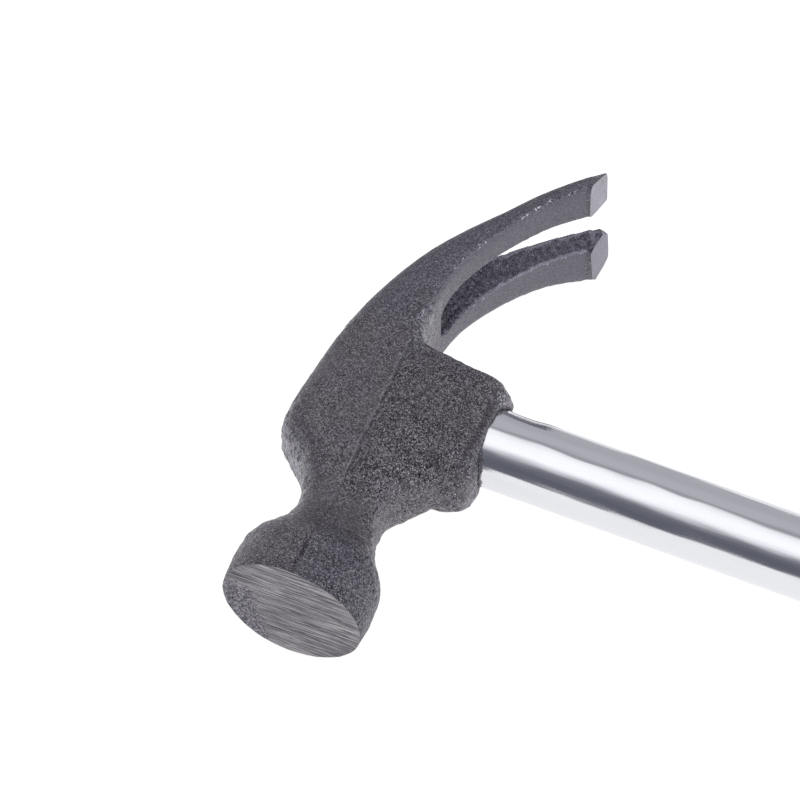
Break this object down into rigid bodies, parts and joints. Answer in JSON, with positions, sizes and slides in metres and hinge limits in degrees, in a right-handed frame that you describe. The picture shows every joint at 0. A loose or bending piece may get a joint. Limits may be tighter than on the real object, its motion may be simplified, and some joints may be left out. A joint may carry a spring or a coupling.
{
  "type": "claw hammer",
  "caption": "Small claw hammer: a rough cast head with a round striking face and a curved, slotted claw, on a chromed steel tube handle with a rubber grip.",
  "frame": {"origin": "under the middle of the hammer's box, on the surface it lies on", "axes": "+X along the handle from the head to the butt, +Y from the striking face to the claws, +Z across the head; the hammer lies on its side"},
  "size_m": [0.2678, 0.0958, 0.0295],
  "materials": {
    "cast_iron": "rough sand-cast skin, ground on the striking face and the claws' tips",
    "chrome": "bright chrome plate",
    "wood": "bare end grain",
    "steel": "plain steel, struck at its head",
    "rubber": "matt moulded rubber",
    "plastic": "moulded, matt"
  },
  "bodies": {
    "root": {"hammer_head": "cast_iron", "handle_tube": "chrome", "core_plug": "wood", "steel_wedge": "steel", "grip_sleeve": "rubber", "tube_end_plug": "plastic"}
  },
  "joints": []
}
